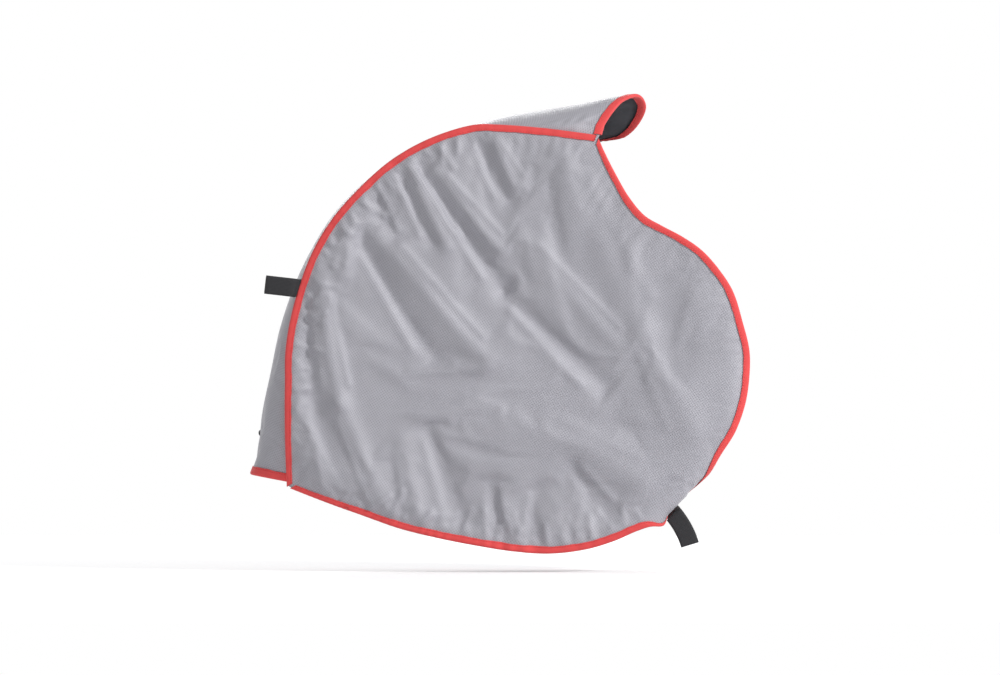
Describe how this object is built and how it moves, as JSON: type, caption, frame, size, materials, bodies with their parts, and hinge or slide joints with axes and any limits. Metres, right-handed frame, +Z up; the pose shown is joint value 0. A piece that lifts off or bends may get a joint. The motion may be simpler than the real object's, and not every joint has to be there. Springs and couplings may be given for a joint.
{
  "type": "motorcycle tire warmer",
  "caption": "Cloth motorcycle tyre warmer in its worn form: side panels joined by a heated band over the tread, bound edges, a pull loop and a strap.",
  "frame": {"origin": "centre of the wheel that the warmer is worn on", "axes": "+Z up; Y along the wheel's axle, with the front panel facing -Y; +X towards the side that is left open for the fork"},
  "size_m": [0.6769, 0.1345, 0.621],
  "materials": {
    "nylon": "coated dobby-weave nylon, silver grey, slight sheen",
    "lining": "dark grey heat-resistant lining cloth, dull",
    "red_tape": "red woven binding tape, folded and stitched",
    "webbing": "black ribbed webbing",
    "elastic": "flat woven elastic, off-white",
    "felt": "needled wadding, off-white",
    "mat": "silicone-coated glass mat, red-brown",
    "wire": "flat insulated heating wire, dark grey",
    "switch_case": "thermostat case, black",
    "rubber": "moulded rubber, black"
  },
  "bodies": {
    "root": {"front_side_panel": "nylon", "back_side_panel": "nylon", "band_cover": "nylon", "band_wadding": "felt", "heating_mat": "mat", "heating_wire": "wire", "band_lining": "lining", "thermostat": "switch_case", "lead_gland": "rubber", "front_seam_binding": "red_tape", "back_seam_binding": "red_tape", "front_hem_binding": "red_tape", "back_hem_binding": "red_tape", "front_hem_elastic": "elastic", "back_hem_elastic": "elastic", "lower_mouth_binding": "red_tape", "upper_mouth_binding": "red_tape", "pull_loop": "webbing", "strap": "webbing", "strap_hook_pad": "webbing", "panel_loop_pad": "webbing"}
  },
  "joints": []
}
